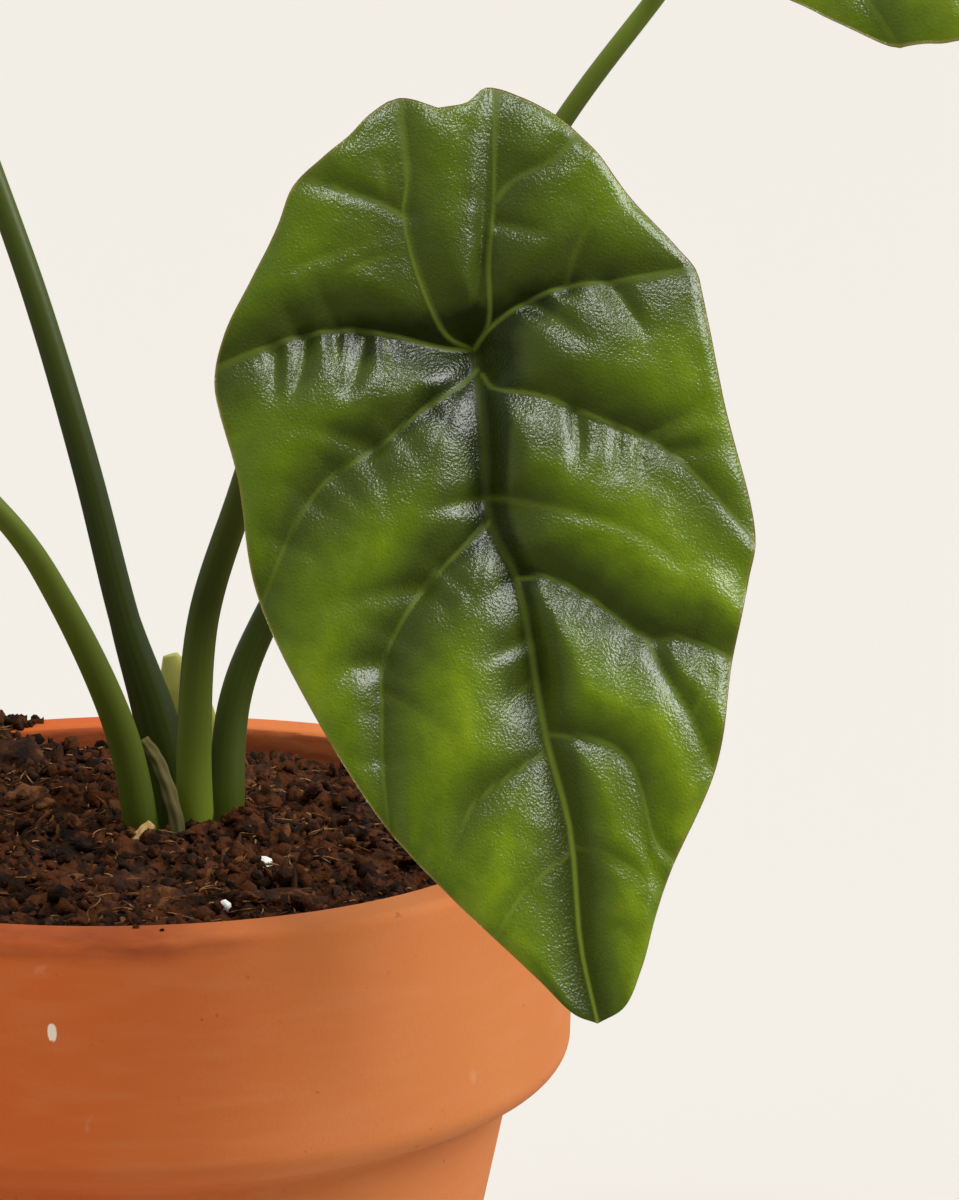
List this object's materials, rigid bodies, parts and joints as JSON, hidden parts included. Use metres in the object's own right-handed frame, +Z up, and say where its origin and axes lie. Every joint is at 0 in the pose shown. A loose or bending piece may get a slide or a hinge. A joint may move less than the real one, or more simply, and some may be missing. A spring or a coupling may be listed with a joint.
{
  "type": "potted alocasia sinuata",
  "caption": "Small aroid with waved, deeply veined, arrow-shaped blades on arching petioles, planted in a plain terracotta pot with a thick collar",
  "frame": {"origin": "centre of the pot's foot, on the surface that it stands on; the leaves spread evenly enough that it is also the middle of the box", "axes": "+Z is up, along the pot's axis; +X is the side that the front and right leaves lean to, along the longest extent; -Y is the side that the front leaf faces"},
  "size_m": [0.3622, 0.1925, 0.3074],
  "materials": {
    "terracotta": "matte",
    "potting_mix": "matte",
    "corm": "matte",
    "petiole": "satin",
    "blade": "gloss",
    "sheath": "satin",
    "dry": "matte"
  },
  "bodies": {
    "root": {"pot": "terracotta", "potting_mix": "potting_mix", "corm": "corm", "petiole_front": "petiole", "petiole_back": "petiole", "petiole_left": "petiole", "petiole_right": "petiole", "blade_front": "blade", "blade_back": "blade", "blade_left": "blade", "blade_right": "blade", "new_shoot": "sheath", "withered_stalk": "dry", "root_stub": "dry"}
  },
  "joints": []
}
